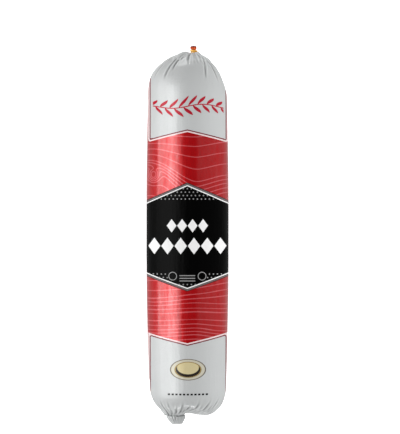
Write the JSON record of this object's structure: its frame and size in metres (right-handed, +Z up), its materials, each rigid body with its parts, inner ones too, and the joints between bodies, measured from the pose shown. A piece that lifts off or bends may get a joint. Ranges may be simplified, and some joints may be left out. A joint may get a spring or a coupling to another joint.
{
  "type": "cured sausage chub",
  "caption": "Round-ended cured sausage lying down: ground meat in a tight printed film casing, gathered and closed at each end by a wire clip.",
  "frame": {"origin": "on the surface it rests on, below the middle of its whole length", "axes": "+Y along the sausage towards the hung end, +X across, +Z up out of the printed front"},
  "size_m": [0.066, 0.3036, 0.0655],
  "materials": {
    "casing_film": "glossy printed film, red, black and silvery white",
    "cured_meat": "coarse ground cured meat with flecks of fat, moist",
    "lacquered_wire": "coppery gold lacquer on drawn aluminium wire",
    "plain_wire": "drawn wire, bright"
  },
  "bodies": {
    "root": {"printed_casing": "casing_film", "meat_filling": "cured_meat", "hung_end_clip": "lacquered_wire", "lower_end_clip": "plain_wire"}
  },
  "joints": []
}
